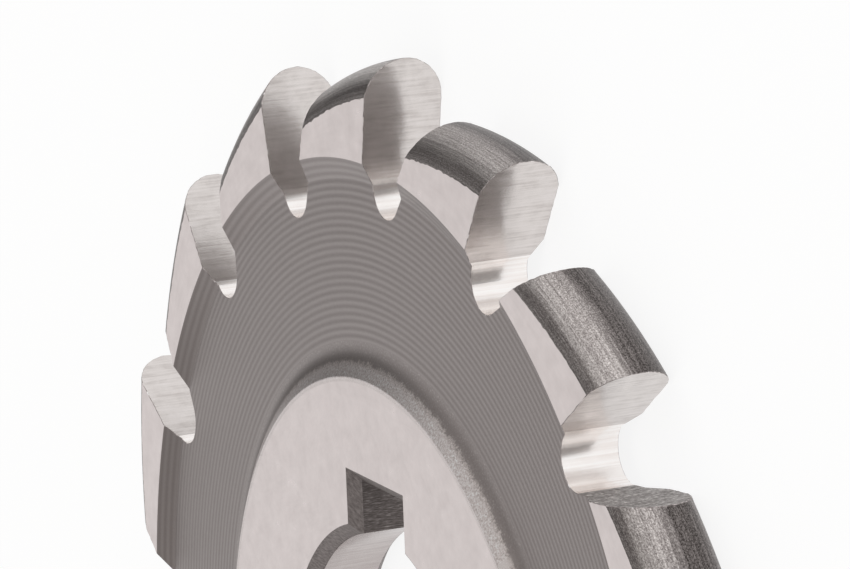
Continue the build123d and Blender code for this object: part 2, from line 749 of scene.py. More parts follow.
@dataclass
class KeyedHub:
    """The hub's ground faces, the bore and the keyway."""

    sizes: CutterSizes
    ring: ToothRing
    bore_segments: int = 120
    wall_rows: int = 4

    def mouth(self, offset: float) -> list[Point]:
        """Give the outline of the bore and keyway, moved out by an offset.

        Args:
            offset: Distance outside the finished bore and keyway.

        Returns:
            Points round the bore from the keyway's right side, clockwise, then the two corners of
            the keyway's floor.
        """
        s = self.sizes
        radius = s.bore_diameter / 2 + offset
        half = s.keyway_width / 2 + offset
        top = s.bore_diameter / 2 + s.keyway_depth + offset
        lean = math.asin(half / radius)
        angles = np.linspace(math.pi / 2 - lean, lean - 3 * math.pi / 2, self.bore_segments + 1)
        return [*(polar(radius, float(a)) for a in angles), (-half, top), (half, top)]

    def levels(self) -> tuple[list[Point], int]:
        """Lay out the bore's section from the ground face down to mid-width.

        Returns:
            Offset and height of each outline, and how many outlines come before the wall.
        """
        s, b = self.sizes, self.ring.edge_break
        half_break = b * math.sqrt(0.5)
        bevel_foot = s.hub_edge - s.mouth_chamfer
        bevel = [
            (s.mouth_chamfer + b, s.hub_edge),
            (s.mouth_chamfer - half_break, s.hub_edge - half_break),
            (half_break, bevel_foot + half_break),
        ]
        wall_top = bevel_foot - b
        rows = range(self.wall_rows + 1)
        return [*bevel, *((0.0, wall_top * (1 - i / self.wall_rows)) for i in rows)], len(bevel)

    def lay_bore(self, sheet: MeshSheet) -> tuple[list[int], list[int]]:
        """Lay the bevels and the walls of the bore and keyway.

        Args:
            sheet: The mesh that the surface goes into.

        Returns:
            Vertex numbers of the outlines in the front and the back ground face.
        """
        down, bevel_rows = self.levels()
        stack = down + [(offset, -height) for offset, height in down[-2::-1]]
        loops = [
            [sheet.point(x, y, height) for x, y in self.mouth(offset)] for offset, height in stack
        ]
        for j, (upper, lower) in enumerate(zip(loops, loops[1:])):
            in_bevel = j < bevel_rows or j >= len(loops) - 1 - bevel_rows
            for i in range(len(upper)):
                k = (i + 1) % len(upper)
                wall = Zone.GROUND_BORE if i < self.bore_segments else Zone.BROACHED_KEYWAY
                corners = (upper[i], upper[k], lower[k], lower[i])
                lay = [(z, x + y) for x, y, z in (sheet.points[c] for c in corners)]
                sheet.face(corners, Zone.MOUTH_BEVEL if in_bevel else wall, lay)
        return loops[0], loops[-1]

    def lay_face(self, sheet: MeshSheet, mouth: Sequence[int], height: float) -> None:
        """Lay one ground face between the bore's bevel and the hub's rim.

        Args:
            sheet: The mesh that the surface goes into.
            mouth: Vertex numbers of the bevel's outline in that face.
            height: The face's height.
        """
        count = self.ring.columns * self.sizes.teeth
        start = self.ring.seam + self.sizes.first_tip
        rim = [
            sheet.point(*polar(self.ring.hub_rim, start + math.tau * i / count), height)
            for i in range(count)
        ]
        loops = [rim, list(mouth)]
        numbers = rim + list(mouth)
        for triangle in tessellate_polygon([[Vector(sheet.points[i]) for i in r] for r in loops]):
            corners = [numbers[i] for i in triangle]
            sheet.face(corners, Zone.GROUND_FACE, [sheet.points[c][:2] for c in corners])

    def object(self) -> bpy.types.Object:
        """Make the hub as one object.

        Returns:
            The hub, open at its rim.
        """
        sheet = MeshSheet()
        front, back = self.lay_bore(sheet)
        self.lay_face(sheet, front, self.sizes.hub_edge)
        self.lay_face(sheet, back, -self.sizes.hub_edge)
        return sheet.object("keyed_hub")


def linear(hex_colour: str) -> tuple[float, float, float, float]:
    """Turn an sRGB hex colour into Blender's linear colour.

    Args:
        hex_colour: The colour, such as "#8F8785".

    Returns:
        Red, green, blue and full alpha.
    """
    values = [int(hex_colour[i : i + 2], 16) / 255 for i in (1, 3, 5)]
    low, slope, offset, power = 0.04045, 12.92, 0.055, 2.4
    channels = [v / slope if v <= low else ((v + offset) / (1 + offset)) ** power for v in values]
    return (channels[0], channels[1], channels[2], 1.0)


def cleared(owner: bpy.types.ID) -> Tree:
    """Give a material or a world a node tree with nothing in it.

    Args:
        owner: The material or the world.

    Returns:
        The empty tree.
    """
    owner.use_nodes = True
    owner.node_tree.nodes.clear()
    return owner.node_tree


def add_node(
    tree: Tree,
    kind: str,
    inputs: dict[str | int, object] | None = None,
    out: str = "",
    stops: Stops = (),
    **settings: object,
) -> Socket | None:
    """Add a node with its settings, and give its inputs their values or links.

    Args:
        tree: The shader or geometry tree.
        kind: The node's type name.
        inputs: For an input's name or number, a plain value, the socket to link from, or a list
            of sockets where the input takes several.
        out: Name of the output that is wanted, where it isn't the first.
        stops: Position and sRGB hex colour of each stop, where the node is a colour ramp.
        settings: Values for the node's own properties.

    Returns:
        The wanted output, or nothing where the node has none.
    """
    node = tree.nodes.new(kind)
    for name, value in settings.items():
        setattr(node, name, value)
    for i, (position, colour) in enumerate(stops):
        elements = node.color_ramp.elements
        element = elements[i] if i < len(elements) else elements.new(1.0)
        element.position = position
        element.color = linear(colour)
    for key, value in (inputs or {}).items():
        named = (s for s in node.inputs if s.name == key and s.enabled)
        socket = node.inputs[key] if isinstance(key, int) else next(named)
        for source in value if isinstance(value, list) else [value]:
            if isinstance(source, Socket):
                tree.links.new(source, socket)
            else:
                socket.default_value = source
    return next((s for s in node.outputs if s.enabled and out in ("", s.name)), None)


@dataclass(frozen=True, kw_only=True)
class SteelFinish:
    """A bare high-speed steel surface: its name, its colours and how polished it is.

    Attributes:
        name: What the surface is and how it was made.
        stops: Reflection colours from the darkest to the lightest mark.
        roughness: Lowest and highest roughness. The lightest marks are the smoothest.
        relief: Height of the marks, in millimetres.
        drawn: How far reflections are drawn out across the lines of the finish, from 0 to 1.
    """

    name: str
    stops: Stops
    roughness: tuple[float, float]
    relief: float
    drawn: float = 0.0

    # Turns a reflection across the lines, as a share of a full turn
    quarter_turn: ClassVar[float] = 0.25
    # Sets the marks of two teeth apart for each unit between the teeth's own numbers
    tooth_spread: ClassVar[float] = 9.0

    def marks(self, tree: Tree) -> Socket:
        """Give a factor from 0 to 1 that draws this finish's marks."""
        raise NotImplementedError

    def millimetres(self, tree: Tree) -> Socket:
        """Give the place on the cutter in millimetres."""
        place = add_node(tree, "ShaderNodeTexCoord", out="Object")
        return add_node(tree, "ShaderNodeVectorMath", {0: place, "Scale": 1 / MM}, operation="SCALE")

    def axis_radius(self, tree: Tree, place: Socket) -> Socket:
        """Measure how far a place is from the cutter's axis.

        Args:
            tree: The shader tree.
            place: The place in millimetres.

        Returns:
            The distance's socket, in millimetres.
        """
        kept = {0: place, 1: (1.0, 1.0, 0.0)}
        flat = add_node(tree, "ShaderNodeVectorMath", kept, operation="MULTIPLY")
        return add_node(tree, "ShaderNodeVectorMath", {0: flat}, operation="LENGTH")

    def surface_place(self, tree: Tree) -> Socket:
        """Read the place on the surface.

        Args:
            tree: The shader tree.

        Returns:
            Millimetres along and across the surface, and a third number for each tooth.
        """
        lay = add_node(tree, "ShaderNodeUVMap", uv_map=LAY)
        tooth = add_node(tree, "ShaderNodeAttribute", out="Fac", attribute_name=TOOTH)
        apart = add_node(tree, "ShaderNodeSeparateXYZ", {"Vector": lay}).node.outputs
        joined = {"X": apart["X"], "Y": apart["Y"], "Z": tooth}
        return add_node(tree, "ShaderNodeCombineXYZ", joined)

    def noise(
        self,
        tree: Tree,
        place: Socket,
        per_mm: Corner,
        detail: float = 3.0,
        fineness: float = 0.6,
    ) -> Socket:
        """Give noise that has its own scale along each direction.

        Args:
            tree: The shader tree.
            place: Coordinates in millimetres.
            per_mm: Marks for each millimetre along each coordinate.
            detail: How many finer layers the noise has.
            fineness: Share of the finer layers.

        Returns:
            The noise from 0 to 1.
        """
        scaled = add_node(tree, "ShaderNodeVectorMath", {0: place, 1: per_mm}, operation="MULTIPLY")
        layers = {"Vector": scaled, "Scale": 1.0, "Detail": detail, "Roughness": fineness}
        return add_node(tree, "ShaderNodeTexNoise", layers)

    def strayed_tone(
        self, tree: Tree, at: Socket, drift: Socket, stray: float, ends: Point, tones: Stops
    ) -> Socket:
        """Give a tone that changes along a coordinate, with borders that stray a little.

        Args:
            tree: The shader tree.
            at: The coordinate in millimetres.
            drift: Noise from 0 to 1 that moves the borders.
            stray: How far it moves them, in millimetres.
            ends: Where the first and the last tone are, in millimetres.
            tones: Position between the ends and brightness of each tone.

        Returns:
            The tone's socket.
        """
        moved = {0: drift, 1: stray, 2: at}
        strayed = add_node(tree, "ShaderNodeMath", moved, operation="MULTIPLY_ADD")
        first, last = (end + stray / 2 for end in ends)
        span = {"Value": strayed, "From Min": first, "From Max": last}
        share = add_node(tree, "ShaderNodeMapRange", span)
        return add_node(tree, "ShaderNodeValToRGB", {"Fac": share}, stops=tones)

    def material(self) -> bpy.types.Material:
        """Make the finish's material.

        Returns:
            The material, with its own node tree.
        """
        made = bpy.data.materials.new(self.name)
        tree = cleared(made)
        marks = self.marks(tree)
        smooth, rough = self.roughness
        polish = {"Value": marks, "To Min": rough, "To Max": smooth}
        height = {"Strength": 1.0, "Distance": self.relief * MM, "Height": marks}
        shader = {
            "Base Color": add_node(tree, "ShaderNodeValToRGB", {"Fac": marks}, stops=self.stops),
            "Metallic": 1.0,
            "Roughness": add_node(tree, "ShaderNodeMapRange", polish),
            "Normal": add_node(tree, "ShaderNodeBump", height),
        }
        if self.drawn:
            along = add_node(tree, "ShaderNodeTangent", direction_type="UV_MAP", uv_map=LAY)
            shader["Tangent"] = along
            shader["Anisotropic"] = self.drawn
            shader["Anisotropic Rotation"] = self.quarter_turn
        steel = add_node(tree, "ShaderNodeBsdfPrincipled", shader)
        add_node(tree, "ShaderNodeOutputMaterial", {"Surface": steel})
        return made


@dataclass(frozen=True, kw_only=True)
class LinedSteel(SteelFinish):
    """Steel whose wheel or cutter left straight lines.

    Attributes:
        lines_per_mm: Lines for each millimetre across their direction. The real lines are finer,
            and they are drawn coarse enough to show.
        line_length: Length of a line, in millimetres.
        mottle: Share of a faint blotchy stain in the marks.
    """

    lines_per_mm: float
    line_length: float
    mottle: float

    blotches_per_mm: ClassVar[Corner] = (1.6, 1.6, 1.6)
    blotch_detail: ClassVar[float] = 4.0

    def marks(self, tree: Tree) -> Socket:
        """Draw fine lines with a faint stain over them.

        Args:
            tree: The shader tree.

        Returns:
            The marks from 0 to 1.
        """
        per_mm = (1 / self.line_length, self.lines_per_mm, self.tooth_spread)
        lines = self.noise(tree, self.surface_place(tree), per_mm)
        place = self.millimetres(tree)
        blotch_and_shade = self.noise(tree, place, self.blotches_per_mm, self.blotch_detail)
        return add_node(tree, "ShaderNodeMix", {"Factor": self.mottle, "A": lines, "B": blotch_and_shade})


@dataclass(frozen=True, kw_only=True)
class SpeckledSteel(SteelFinish):
    """Steel with a fine even grain, as from a fine stone, scale or grit.

    Attributes:
        grain: Size of a grain, in millimetres. The real grain is finer, and it is drawn coarse
            enough to show.
        streak: How many times longer a grain is along the cut.
        streak_share: Share of long streaks in the marks.
    """

    grain: float
    streak: float = 1.0
    streak_share: float = 0.0

    grain_detail: ClassVar[float] = 2.0
    grain_fineness: ClassVar[float] = 0.7
    streaks_per_mm: ClassVar[float] = 0.25
    streaks_per_grain: ClassVar[float] = 0.7

    def marks(self, tree: Tree) -> Socket:
        """Draw grains, with streaks along the cut where the finish has them.

        Args:
            tree: The shader tree.

        Returns:
            The marks from 0 to 1.
        """
        place = self.surface_place(tree)
        across = 1 / self.grain
        per_mm = (across / self.streak, across, self.tooth_spread)
        grain = self.noise(tree, place, per_mm, self.grain_detail, self.grain_fineness)
        if not self.streak_share:
            return grain
        per_mm = (self.streaks_per_mm, across * self.streaks_per_grain, self.tooth_spread)
        streaks = self.noise(tree, place, per_mm)
        return add_node(
            tree, "ShaderNodeMix", {"Factor": self.streak_share, "A": grain, "B": streaks}
        )


@dataclass(frozen=True, kw_only=True)
class ShoulderSteel(SpeckledSteel):
    """Grainy steel whose tone changes with the distance from the cutter's axis.

    Attributes:
        ends: Radius where the tones begin and where they end, in millimetres.
        tones: Brightness from the first radius, at 0, to the last one, at 1.
        tone_share: Share of the tones in the marks.
        wander: How far the tones stray from their radius, in millimetres.
    """

    ends: Point
    tones: Stops
    tone_share: float
    wander: float

    drifts_per_mm: ClassVar[Corner] = (3.0, 3.0, 3.0)
    drift_detail: ClassVar[float] = 2.0

    def marks(self, tree: Tree) -> Socket:
        """Draw the grain over the tones, which wander a little in and out.

        Args:
            tree: The shader tree.

        Returns:
            The marks from 0 to 1.
        """
        place = self.millimetres(tree)
        drift = self.noise(tree, place, self.drifts_per_mm, self.drift_detail)
        radius = self.axis_radius(tree, place)
        tone = self.strayed_tone(tree, radius, drift, self.wander, self.ends, self.tones)
        mixed = {"Factor": self.tone_share, "A": super().marks(tree), "B": tone}
        return add_node(tree, "ShaderNodeMix", mixed)


@dataclass(frozen=True, kw_only=True)
class RelievedSteel(SpeckledSteel):
    """Grainy steel that was relieved along the cut and stained in bands by hardening.

    Attributes:
        half_width: Distance from the crest to the edge of the land, along the surface.
        blotch_and_shade: Painted shade, as brightness from the front edge of the land, at 0, over the
            crest to the back, at 1.
        shade_band_depth: How far the darkest painted shade lowers the marks.
    """

    half_width: float
    blotch_and_shade: Stops
    shade_band_depth: float

    drifts_per_mm: ClassVar[Point] = (0.35, 2.5)
    drift_detail: ClassVar[float] = 2.0
    stray_share: ClassVar[float] = 0.25

    def marks(self, tree: Tree) -> Socket:
        """Draw the grain and the streaks, darker in the bands of painted shade.

        Args:
            tree: The shader tree.

        Returns:
            The marks, mostly from 0 to 1.
        """
        grain = super().marks(tree)
        place = self.surface_place(tree)
        across = add_node(tree, "ShaderNodeSeparateXYZ", {"Vector": place}, "Y")
        per_mm = (*self.drifts_per_mm, self.tooth_spread)
        drift = self.noise(tree, place, per_mm, self.drift_detail)
        stray = self.half_width * self.stray_share
        ends = (-self.half_width, self.half_width)
        # Painted shade in bands across the land, darkest just past the crest
        painted_shade_tone = self.strayed_tone(tree, across, drift, stray, ends, self.blotch_and_shade)
        raised = {0: painted_shade_tone, 1: self.shade_band_depth, 2: grain}
        marks = add_node(tree, "ShaderNodeMath", raised, operation="MULTIPLY_ADD")
        centred = {0: marks, 1: self.shade_band_depth / 2}
        return add_node(tree, "ShaderNodeMath", centred, operation="SUBTRACT")


@dataclass(frozen=True, kw_only=True)
class TurnedSteel(SteelFinish):
    """Steel that was turned on a lathe.

    Attributes:
        feed: Distance from one groove to the next, in millimetres.
        groove_share: Share of the grooves in the marks.
        grain: Size of the grain between them, in millimetres, drawn coarse enough to show.
    """

    feed: float
    groove_share: float
    grain: float

    uneven_share: ClassVar[float] = 0.25
    changes_per_mm: ClassVar[float] = 0.1
    uneven_detail: ClassVar[float] = 2.0

    def marks(self, tree: Tree) -> Socket:
        """Draw grooves round the cutter's axis, with a fine grain over them.

        Args:
            tree: The shader tree.

        Returns:
            The marks from 0 to 1.
        """
        place = self.millimetres(tree)
        apart = add_node(tree, "ShaderNodeSeparateXYZ", {"Vector": place}).node.outputs
        radius = self.axis_radius(tree, place)
        turns = {0: radius, 1: math.tau / self.feed}
        angle = add_node(tree, "ShaderNodeMath", turns, operation="MULTIPLY")
        wave = add_node(tree, "ShaderNodeMath", {0: angle}, operation="SINE")
        heights = {"Value": wave, "From Min": -1.0, "From Max": 1.0}
        even = add_node(tree, "ShaderNodeMapRange", heights)
        ring = {"X": radius, "Y": apart["X"], "Z": apart["Y"]}
        ring_place = add_node(tree, "ShaderNodeCombineXYZ", ring)
        per_mm = (1 / self.feed, self.changes_per_mm, self.changes_per_mm)
        uneven = self.noise(tree, ring_place, per_mm, self.uneven_detail)
        mixed = {"Factor": self.uneven_share, "A": even, "B": uneven}
        groove = add_node(tree, "ShaderNodeMix", mixed)
        grain = self.noise(tree, place, (1 / self.grain,) * 3)
        mixed = {"Factor": self.groove_share, "A": grain, "B": groove}
        return add_node(tree, "ShaderNodeMix", mixed)


@dataclass(frozen=True)
class Finishes:
    """The finish of each of the cutter's surfaces."""

    # A fine wheel leaves the hub and the flanks pale and even, with only a faint mottle.
    ground_face: SteelFinish = LinedSteel(
        name="ground_high_speed_steel",
        stops=((0.3, "#D3C9C7"), (0.7, "#E0D6D4")),
        roughness=(0.24, 0.34),
        relief=0.001,
        lines_per_mm=5.0,
        line_length=2.0,
        mottle=0.7,
    )
    # The lathe's grooves scatter the light, so the recess reads as a flat mid grey with rings.
    turned_web: SteelFinish = TurnedSteel(
        name="turned_high_speed_steel",
        stops=((0.2, "#8F8785"), (0.8, "#9F9795")),
        roughness=(0.38, 0.46),
        relief=0.014,
        feed=0.26,
        groove_share=0.65,
        grain=0.10,
    )
    # The side of the hub is pale and grainy, and painted shade darkens its foot, where it bends into the
    # web.
    hub_shoulder: SteelFinish = ShoulderSteel(
        name="grained_shoulder_steel",
        stops=(
            (0.25, "#958D8B"),
            (0.44, "#A09896"),
            (0.55, "#C9C0BD"),
            (0.66, "#E6DDDB"),
            (0.78, "#FFFFFF"),
        ),
        roughness=(0.34, 0.46),
        relief=0.003,
        grain=0.075,
        ends=(13.4, 14.8),
        # Painted shade: the tones darken from about 14.1 mm outwards, over the hub's foot
        tones=(
            (0.04, "#E0E0E0"),
            (0.18, "#F3F3F3"),
            (0.39, "#F3F3F3"),
            (0.50, "#D0D0D0"),
            (0.57, "#808080"),
            (0.64, "#6C6C6C"),
            (1.00, "#7C7C7C"),
        ),
        tone_share=0.4,
        wander=0.25,
    )
    # Backing off leaves the lands grainy and streaked along the cut, and painted shade darkens them in
    # bands.
    relieved_land: SteelFinish = RelievedSteel(
        name="relieved_high_speed_steel",
        stops=((0.30, "#3B3634"), (0.5, "#867F7D"), (0.64, "#B7B1AE"), (0.76, "#E6DFDD")),
        roughness=(0.36, 0.48),
        relief=0.0018,
        grain=0.045,
        streak=1.4,
        streak_share=0.34,
        half_width=2.06,
        # Painted shade across the land, darkest just past the crest on the half towards the floor
        blotch_and_shade=(
            (0.00, "#B4B4B4"),
            (0.07, "#C8C8C8"),
            (0.13, "#FFFFFF"),
            (0.38, "#D8D8D8"),
            (0.48, "#202020"),
            (0.70, "#202020"),
            (0.84, "#A0A0A0"),
            (1.00, "#808080"),
        ),
        shade_band_depth=0.22,
    )
    # The cutting faces were ground across their width, which left short fine lines and a mottle.
    ground_rake: SteelFinish = LinedSteel(
        name="ground_cutting_face_steel",
        stops=((0.34, "#C8C1BE"), (0.5, "#DAD4D1"), (0.66, "#E2DCDA")),
        roughness=(0.18, 0.26),
        relief=0.005,
        drawn=0.85,
        lines_per_mm=10.0,
        line_length=2.0,
        mottle=0.45,
    )
    # The flute floors are bright milled steel with lines along the cutter's axis.
    milled_flute: SteelFinish = LinedSteel(
        name="milled_flute_steel",
        stops=((0.3, "#F2EAE6"), (0.6, "#FFFCFA")),
        roughness=(0.14, 0.24),
        relief=0.003,
        drawn=0.85,
        lines_per_mm=7.0,
        line_length=8.0,
        mottle=0.2,
    )
    # The tooth backs keep the dull, grainy skin of the hardening.
    heel_back: SteelFinish = SpeckledSteel(
        name="hardened_tooth_back_steel",
        stops=((0.35, "#7A7573"), (0.52, "#A39E9C"), (0.70, "#F0ECEA")),
        roughness=(0.60, 0.75),
        relief=0.008,
        grain=0.10,
        streak=1.5,
        streak_share=0.3,
    )
    # The bore is ground to fit an arbor and mirrors what it faces.
    ground_bore: SteelFinish = LinedSteel(
        name="ground_bore_steel",
        stops=((0.3, "#AFA6A4"), (0.7, "#C6BEBC")),
        roughness=(0.20, 0.30),
        relief=0.001,
        lines_per_mm=4.0,
        line_length=3.0,
        mottle=0.3,
    )
    # The broach leaves the keyway duller, with scores along its travel, and its dark colour is painted
    # shade in the slot.
    broached_keyway: SteelFinish = SpeckledSteel(
        name="broached_keyway_steel",
        stops=((0.35, "#595351"), (0.55, "#726B69"), (0.75, "#A29B99")),
        roughness=(0.40, 0.55),
        relief=0.003,
        grain=0.045,
        streak=8.0,
    )
    # The bevel of the mouth was turned and dulled by the hardening.
    mouth_bevel: SteelFinish = SpeckledSteel(
        name="turned_bevel_steel",
        stops=((0.3, "#746D6B"), (0.7, "#9B9391")),
        roughness=(0.48, 0.62),
        relief=0.002,
        grain=0.12,
    )
    # The stone that broke the edges of the teeth left them dull, with small bright nicks.
    broken_edge: SteelFinish = SpeckledSteel(
        name="stoned_edge_steel",
        stops=((0.40, "#8F8785"), (0.56, "#B8B0AE"), (0.64, "#E2DAD8"), (0.72, "#FFFFFF")),
        roughness=(0.55, 0.70),
        relief=0.002,
        grain=0.15,
    )

    def of(self, zone: Zone) -> SteelFinish:
        """Give the finish of a zone."""
        return getattr(self, zone.name.lower())


@dataclass
class FormCutter:
    """The whole cutter: a ring of teeth made by Geometry Nodes, and the hub."""

    sizes: CutterSizes
    finishes: Finishes
    weld: float = 0.0005
    burrs_per_mm: float = 6.0
    seed: int = 7
    sharp_angle: float = 13.0

    # The highest number that a tooth may draw, and the middle of a noise from 0 to 1
    highest_number: ClassVar[float] = 100.0
    noise_middle: ClassVar[Corner] = (0.5, 0.5, 0.5)

    def tree(self) -> Tree:
        """Make the Geometry Nodes tree that repeats the tooth and closes the cutter.

        Returns:
            The tree, with named inputs for its sizes.
        """
        tree = bpy.data.node_groups.new("repeat_teeth", "GeometryNodeTree")
        named = {
            "Tooth": "Geometry",
            "Hub": "Object",
            "Teeth": "Int",
            "Weld distance": "Float",
            "Millimetre": "Float",
            "Burr scale": "Float",
            "Seed": "Int",
        }
        for name, kind in named.items():
            tree.interface.new_socket(name, in_out="INPUT", socket_type=f"NodeSocket{kind}")
        tree.interface.new_socket("Cutter", in_out="OUTPUT", socket_type="NodeSocketGeometry")
        given = add_node(tree, "NodeGroupInput").node.outputs
        teeth = self.repeat(tree, given)
        hub = add_node(tree, "GeometryNodeObjectInfo", {"Object": given["Hub"]}, "Geometry")
        whole = add_node(tree, "GeometryNodeJoinGeometry", {"Geometry": [hub, teeth]})
        near = {"Geometry": whole, "Distance": given["Weld distance"]}
        welded = add_node(tree, "GeometryNodeMergeByDistance", near)
        painted = self.paint(tree, self.roughen_edges(tree, given, welded))
        add_node(tree, "NodeGroupOutput", {"Cutter": painted})
        return tree

    def repeat(self, tree: Tree, given: bpy.types.NodeOutputs) -> Socket:
        """Turn copies of the tooth round the axis and give each its own number.

        Args:
            tree: The Geometry Nodes tree.
            given: The tree's inputs.

        Returns:
            The teeth as one realized mesh.
        """
        still = {"Start Location": SMOOTH, "Offset": SMOOTH}
        places = add_node(tree, "GeometryNodeMeshLine", {"Count": given["Teeth"], **still})
        index = add_node(tree, "GeometryNodeInputIndex")
        whole_turn = {0: math.tau, 1: given["Teeth"]}
        pitch = add_node(tree, "ShaderNodeMath", whole_turn, operation="DIVIDE")
        angle = add_node(tree, "ShaderNodeMath", {0: index, 1: pitch}, operation="MULTIPLY")
        turn = add_node(tree, "ShaderNodeCombineXYZ", {"Z": angle})
        copied = {"Points": places, "Instance": given["Tooth"], "Rotation": turn}
        copies = add_node(tree, "GeometryNodeInstanceOnPoints", copied)
        drawn = {"Min": 0.0, "Max": self.highest_number, "ID": index, "Seed": given["Seed"]}
        number = add_node(tree, "FunctionNodeRandomValue", drawn, data_type="FLOAT")
        stored = add_node(
            tree,
            "GeometryNodeStoreNamedAttribute",
            {"Geometry": copies, "Name": TOOTH, "Value": number},
            data_type="FLOAT",
            domain="INSTANCE",
        )
        return add_node(tree, "GeometryNodeRealizeInstances", {"Geometry": stored})

    def roughen_edges(self, tree: Tree, given: bpy.types.NodeOutputs, geometry: Socket) -> Socket:
        """Shift the broken edges of the teeth a little, so that they look burred.

        Args:
            tree: The Geometry Nodes tree.
            given: The tree's inputs.
            geometry: The welded cutter.

        Returns:
            The cutter with uneven edges.
        """
        attribute = "GeometryNodeInputNamedAttribute"
        furthest = add_node(tree, attribute, {"Name": BURR}, data_type="FLOAT_VECTOR")
        wave = {"W": given["Seed"], "Scale": given["Burr scale"], "Detail": 1.0}
        noise = add_node(tree, "ShaderNodeTexNoise", wave, "Color", noise_dimensions="4D")
        shift = noise
        for operation, inputs in (
            ("SUBTRACT", {1: self.noise_middle}),
            ("MULTIPLY", {1: furthest}),
            ("SCALE", {"Scale": given["Millimetre"]}),
        ):
            inputs[0] = shift
            shift = add_node(tree, "ShaderNodeVectorMath", inputs, operation=operation)
        return add_node(tree, "GeometryNodeSetPosition", {"Geometry": geometry, "Offset": shift})

    def paint(self, tree: Tree, geometry: Socket) -> Socket:
        """Give each zone's faces their material.

        Args:
            tree: The Geometry Nodes tree.
            geometry: The bare cutter.

        Returns:
            The cutter with every zone dressed.
        """
        number = add_node(
            tree, "GeometryNodeInputNamedAttribute", {"Name": ZONE}, data_type="INT"
        )
        for zone in Zone:
            same = {"A": number, "B": zone.value}
            chosen = add_node(
                tree, "FunctionNodeCompare", same, data_type="INT", operation="EQUAL"
            )
            dress = {"Selection": chosen, "Material": self.finishes.of(zone).material()}
            geometry = add_node(tree, "GeometryNodeSetMaterial", {"Geometry": geometry, **dress})
        return geometry

    def build(self) -> bpy.types.Object:
        """Build the cutter as one plain mesh that stands for the cutter's node.

        Returns:
            The finished object.
        """
        ring = ToothRing(self.sizes)
        tooth = ring.sector()
        hub = KeyedHub(self.sizes, ring).object()
        modifier = tooth.modifiers.new("teeth", "NODES")
        modifier.node_group = self.tree()
        values = {
            "Hub": hub,
            "Teeth": self.sizes.teeth,
            "Weld distance": self.weld * MM,
            "Millimetre": MM,
            "Burr scale": self.burrs_per_mm / MM,
            "Seed": self.seed,
        }
        for item in modifier.node_group.interface.items_tree:
            if item.name in values:
                modifier[item.identifier] = values[item.name]
        graph = bpy.context.evaluated_depsgraph_get()
        mesh = bpy.data.meshes.new_from_object(tooth.evaluated_get(graph))
        for source in (tooth, hub):
            bpy.data.objects.remove(source)
        self.close(mesh)
        return placed("form_cutter", mesh)

    def close(self, mesh: bpy.types.Mesh) -> None:
        """Turn the mesh's faces outwards and make its real edges sharp.

        Args:
            mesh: The cutter's mesh.
        """
        work = bmesh.new()
        work.from_mesh(mesh)
        bmesh.ops.recalc_face_normals(work, faces=work.faces)
        open_edges = sum(1 for edge in work.edges if not edge.is_manifold)
        LOG.info("cutter mesh: %d faces, %d open edges", len(work.faces), open_edges)
        zone = work.faces.layers.int[ZONE]
        limit = math.radians(self.sharp_angle)
        for edge in work.edges:
            first, second = edge.link_faces
            edge.smooth = first[zone] == second[zone] and edge.calc_face_angle(0.0) < limit
        for face in work.faces:
            face.smooth = True
        work.to_mesh(mesh)
        work.free()
        self.drop_empty_slots(mesh)

    @staticmethod
    def drop_empty_slots(mesh: bpy.types.Mesh) -> None:
        """Take out material slots that hold nothing, and renumber the faces' slots.

        Args:
            mesh: The cutter's mesh.
        """
        kept = [i for i, material in enumerate(mesh.materials) if material]
        used = np.zeros(len(mesh.polygons), dtype=np.int32)
        mesh.polygons.foreach_get("material_index", used)
        numbers = np.zeros(len(mesh.materials), dtype=np.int32)
        numbers[kept] = range(len(kept))
        materials = [mesh.materials[i] for i in kept]
        mesh.materials.clear()
        for material in materials:
            mesh.materials.append(material)
        mesh.polygons.foreach_set("material_index", numbers[used])


